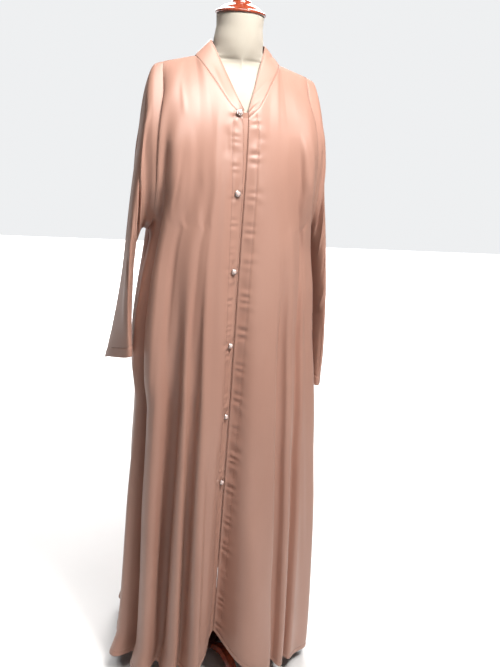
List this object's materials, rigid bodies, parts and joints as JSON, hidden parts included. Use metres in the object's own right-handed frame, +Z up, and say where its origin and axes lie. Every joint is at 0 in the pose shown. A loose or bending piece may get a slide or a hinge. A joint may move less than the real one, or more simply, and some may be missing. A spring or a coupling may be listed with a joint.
{
  "type": "abaya cloak on dress form",
  "caption": "Long satin abaya cloak with a neckband, front buttons and long sleeves, on a limbless dress form with a turned neck cap, pole and legged wooden base.",
  "frame": {"origin": "on the floor, under the middle of the part's box", "axes": "+Z up, -Y the cloak's front, +X the wearer's left"},
  "size_m": [0.5657, 0.5416, 1.7335],
  "materials": {
    "satin": "dusty rose tan satin with a soft sheen",
    "button": "clear and pearly domes with a silvery rim",
    "linen": "plain cream cover cloth",
    "red_wood": "turned wood with a glossy red-brown varnish",
    "dark_wood": "dark varnished wood",
    "steel": "plain tube"
  },
  "bodies": {
    "root": {"front_right": "satin", "front_left": "satin", "back": "satin", "sleeve_right": "satin", "sleeve_left": "satin", "neckband": "satin", "underlap": "satin", "button_1": "button", "button_2": "button", "button_3": "button", "button_4": "button", "button_5": "button", "button_6": "button", "form_torso": "linen", "form_neck_cap": "red_wood", "stand_hub": "dark_wood", "stand_pole": "steel", "leg_1": "red_wood", "leg_2": "red_wood", "leg_3": "red_wood"}
  },
  "joints": []
}
